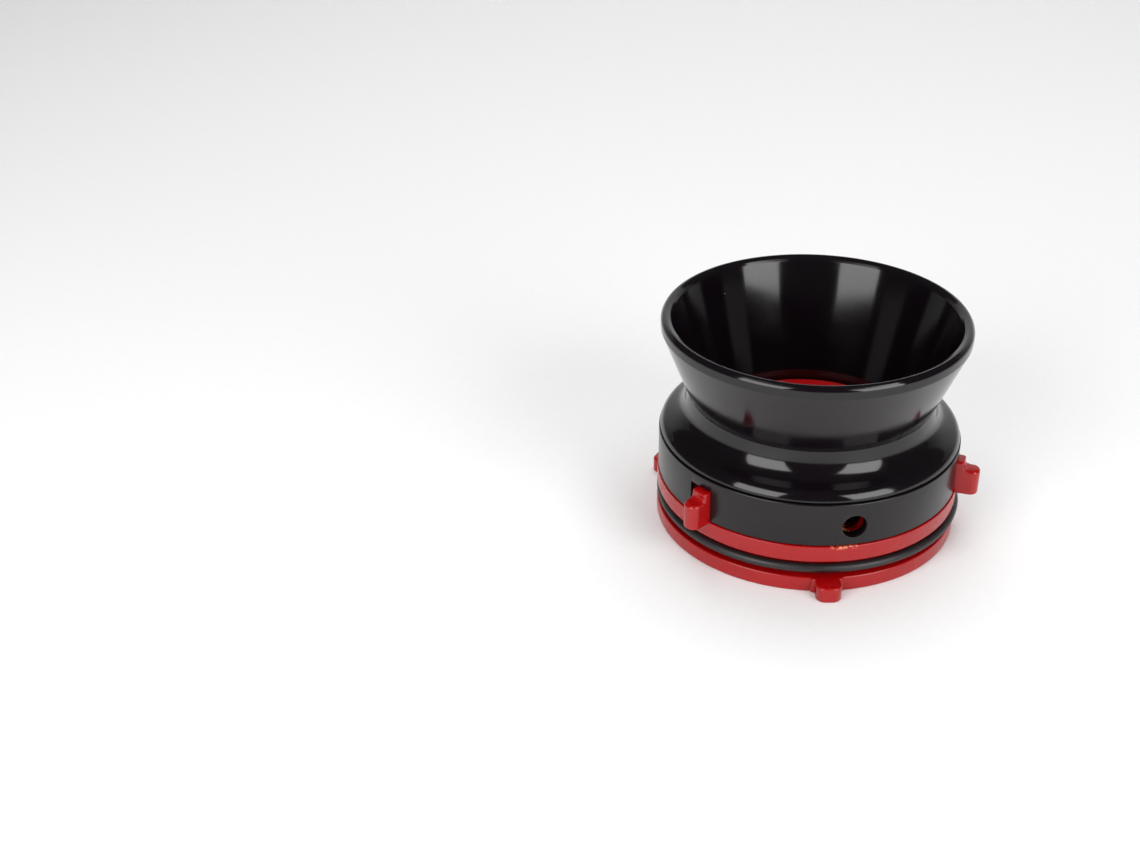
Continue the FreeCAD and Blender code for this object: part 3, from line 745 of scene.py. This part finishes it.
lines = turning_lines(tree, place, TURNING_LINE)
TONE = 12.0 * MM
tone = add(tree, "ShaderNodeTexNoise", {"Vector": place, "Scale": 1 / TONE, "Detail": 2.0})
shade = add(tree, "ShaderNodeMix", {
    "Factor": tone.outputs["Fac"], "A": linear("#0E090C"), "B": linear("#151012"),
}, data_type="RGBA")
roughness = add(tree, "ShaderNodeMapRange", {"Value": lines, "To Min": 0.2, "To Max": 0.3})
bump = add(tree, "ShaderNodeBump", {"Height": lines, "Strength": 0.1, "Distance": 0.02 * MM})
tree.links.new(shade.outputs["Result"], shader.inputs["Base Color"])
tree.links.new(roughness.outputs["Result"], shader.inputs["Roughness"])
tree.links.new(bump.outputs["Normal"], shader.inputs["Normal"])
shader.inputs["IOR"].default_value = 1.45

skirt_low, skirt_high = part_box("skirt_ring")
SKIRT_RADIUS = skirt_high.x / MM
SKIRT_BORE = 41.7
SKIRT_BOTTOM, SKIRT_TOP = skirt_low.z / MM, skirt_high.z / MM
skirt = turned("skirt_ring_turned", [
    (SKIRT_BORE, SKIRT_BOTTOM, 0.15),
    (SKIRT_RADIUS, SKIRT_BOTTOM, 0.3),
    (SKIRT_RADIUS, SKIRT_TOP, 0.4),
    (SKIRT_BORE, SKIRT_TOP, 0.15),
], satin_black, steps_round=288, corner_steps=5)
NOTCH_HALF, NOTCH_TOP, NOTCH_AZIMUTH = 4.0, 25.4, -40.4
notch = stacked("notch", [
    (height, tongue(38.0, 50.0, half, 0.5))
    for height, half in ((12.0, NOTCH_HALF), (NOTCH_TOP - 0.4, NOTCH_HALF),
                         (NOTCH_TOP - 0.12, NOTCH_HALF - 0.12), (NOTCH_TOP, NOTCH_HALF - 0.4))
])
work_round(skirt, notch, NOTCH_AZIMUTH, satin_black, cutting)
SIDE_HOLE_RADIUS = 3.55
side_hole = round_rod(SIDE_HOLE_RADIUS, 38.0, 50.0, HOLE_HEIGHT)
work_round(skirt, side_hole, HOLE_AZIMUTH, satin_black, cutting)
eased_edges = skirt.modifiers.new("eased edges", "BEVEL")
eased_edges.limit_method = "ANGLE"
eased_edges.angle_limit = math.radians(50)
eased_edges.width = 0.14 * MM
eased_edges.segments = 2
settle(skirt)
stand_for(skirt, "cup", "black_anodised_skirt", "skirt_ring")

# ---------------------------------------------------------------------------------------
# Funnel shell: the cup.  Turned aluminium, polished and black anodised, with a conical
# funnel, a rolled rim, a waist, a coved shoulder and a spigot for the skirt.
# ---------------------------------------------------------------------------------------

# Polished black anodised aluminium: deep gloss with a faint plum cast, drawn out up and
# down by fine turning lines, with a few specks of dust.
gloss_black, tree, shader, place = material("aluminium_black_anodised_gloss")
FINE_LINE = 0.18 * MM
DUST_GAP = 7.0 * MM
DUST_SHARE = 0.018
lines = turning_lines(tree, place, FINE_LINE)
tone = add(tree, "ShaderNodeTexNoise", {"Vector": place, "Scale": 1 / TONE, "Detail": 3.0})
shade = add(tree, "ShaderNodeMix", {
    "Factor": tone.outputs["Fac"], "A": linear("#0A0609"), "B": linear("#110C10"),
}, data_type="RGBA")
dust_cells = add(tree, "ShaderNodeTexVoronoi", {"Vector": place, "Scale": 1 / DUST_GAP})
dust = add(tree, "ShaderNodeMath", {0: dust_cells.outputs["Distance"], 1: DUST_SHARE},
           operation="LESS_THAN")
dusty = add(tree, "ShaderNodeMix", {
    "Factor": dust.outputs["Value"], "A": shade.outputs["Result"], "B": linear("#B8B4B0"),
}, data_type="RGBA")
roughness = add(tree, "ShaderNodeMapRange", {
    "Value": tone.outputs["Fac"], "From Min": 0.3, "From Max": 0.7,
    "To Min": 0.1, "To Max": 0.14,
})
bump = add(tree, "ShaderNodeBump", {"Height": lines, "Strength": 0.06, "Distance": 0.02 * MM})
tree.links.new(dusty.outputs["Result"], shader.inputs["Base Color"])
tree.links.new(roughness.outputs["Result"], shader.inputs["Roughness"])
tree.links.new(bump.outputs["Normal"], shader.inputs["Normal"])
shader.inputs["IOR"].default_value = 1.5
shader.inputs["Anisotropic"].default_value = 0.7
shader.inputs["Anisotropic Rotation"].default_value = 0.25

shell_low, shell_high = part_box("funnel_shell")
SHELL_FOOT, RIM_RADIUS = shell_low.z / MM, shell_high.x / MM
RIM_CREST = 65.6
cup = turned("funnel_shell_turned", [
    (31.4, SHELL_FOOT, 0.2),
    (31.4, 31.0, 0.5),
    (41.4, 64.0, 0.3),
    (41.9, 64.75, 0.4),
    (43.6, RIM_CREST, 1.0),
    (RIM_RADIUS, 64.2, 1.6),
    (RIM_RADIUS, 61.8, 1.2),
    (36.2, 40.7, 0.8),
    (37.6, 34.4, 7.0),
    (43.9, 31.4, 3.9),
    (44.4, 29.1, 0.3),
    (41.6, 29.1, 0.15),
    (41.6, 24.0, 0.3),
    (38.0, 24.0, 0.2),
    (38.0, 31.5, 0.3),
    (34.6, 31.5, 0.3),
    (33.8, SHELL_FOOT, 0.2),
], gloss_black, steps_round=360, corner_steps=20)
stand_for(cup, "cup", "black_anodised", "funnel_shell")

# ---------------------------------------------------------------------------------------
# Studio: a pale floor that sweeps up into a backdrop, two soft boxes in front, a broad
# fill overhead, and a camera a little above the object.
# ---------------------------------------------------------------------------------------

# Matt white paper, with a trace of fibre.
paper, tree, shader, place = material("paper_white_matt")
fibre = add(tree, "ShaderNodeTexNoise", {"Vector": place, "Scale": 400.0})
shade = add(tree, "ShaderNodeMix", {
    "Factor": fibre.outputs["Fac"], "A": linear("#F4F4F4"), "B": linear("#F8F8F8"),
}, data_type="RGBA")
tree.links.new(shade.outputs["Result"], shader.inputs["Base Color"])
shader.inputs["Roughness"].default_value = 0.9

SWEEP_HALF_WIDTH = 2.2
SWEEP_FRONT, SWEEP_BACK, SWEEP_HIGH = -2.0, 0.9, 0.9
SWEEP_ROUND = 0.25
SWEEP_STEPS = 16
sweep_line = [(SWEEP_FRONT, 0.0), (SWEEP_BACK, 0.0)]
for step in range(1, SWEEP_STEPS + 1):
    a = step / SWEEP_STEPS * math.pi / 2
    sweep_line.append((SWEEP_BACK + SWEEP_ROUND * math.sin(a), SWEEP_ROUND * (1 - math.cos(a))))
sweep_line.append((SWEEP_BACK + SWEEP_ROUND, SWEEP_HIGH))
points = [(side * SWEEP_HALF_WIDTH, depth, rise) for depth, rise in sweep_line for side in (-1, 1)]
faces = [(2 * i, 2 * i + 1, 2 * i + 3, 2 * i + 2) for i in range(len(sweep_line) - 1)]
floor = new_object("paper_sweep", points, [], faces)
floor.data.materials.append(paper)
for face in floor.data.polygons:
    face.use_smooth = True


def soft_box(name, azimuth, elevation, distance, width, tall, power):
    """A rectangular light that looks at the object."""
    light = bpy.data.lights.new(name, "AREA")
    light.shape = "RECTANGLE"
    light.size = width
    light.size_y = tall
    light.energy = power
    lamp = bpy.data.objects.new(name, light)
    bpy.context.scene.collection.objects.link(lamp)
    a, e = math.radians(azimuth), math.radians(elevation)
    aim = Vector((math.sin(a) * math.cos(e), -math.cos(a) * math.cos(e), math.sin(e)))
    lamp.location = aim * distance + Vector((0, 0, 0.03))
    lamp.rotation_euler = aim.to_track_quat("Z", "Y").to_euler()
    return lamp


BOX_RISE, BOX_AWAY, BOX_TALL, BOX_POWER = 23, 0.9, 0.65, 5
soft_box("soft_box_left", -33, BOX_RISE, BOX_AWAY, 0.53, BOX_TALL, BOX_POWER)
soft_box("soft_box_right", 49, BOX_RISE, BOX_AWAY, 0.5, BOX_TALL, BOX_POWER)
FILL_RISE, FILL_AWAY, FILL_SIZE, FILL_POWER = 78, 1.3, 1.3, 14
fill = soft_box("overhead_fill", 180, FILL_RISE, FILL_AWAY, FILL_SIZE, FILL_SIZE, FILL_POWER)
fill.visible_glossy = False

world = bpy.data.worlds.new("studio")
world.use_nodes = True
world.node_tree.nodes["Background"].inputs["Color"].default_value = linear("#FFFFFF")
world.node_tree.nodes["Background"].inputs["Strength"].default_value = 0.06
bpy.context.scene.world = world
bpy.context.scene.view_settings.view_transform = "Standard"

CAMERA_BACK, CAMERA_HIGH = 0.3954, 0.2536
LOOK_DOWN = 29.97
TURN_LEFT = 10.42
LEAN = -1.11
lens = bpy.data.cameras.new("camera")
lens.sensor_width = 36.0
lens.lens = 47.25
lens.clip_start = 0.01
camera = bpy.data.objects.new("camera", lens)
bpy.context.scene.collection.objects.link(camera)
camera.matrix_world = (
    Matrix.Translation((0, -CAMERA_BACK, CAMERA_HIGH))
    @ Matrix.Rotation(math.radians(TURN_LEFT), 4, "Z")
    @ Matrix.Rotation(math.radians(90 - LOOK_DOWN), 4, "X")
    @ Matrix.Rotation(math.radians(LEAN), 4, "Z")
)
bpy.context.scene.camera = camera
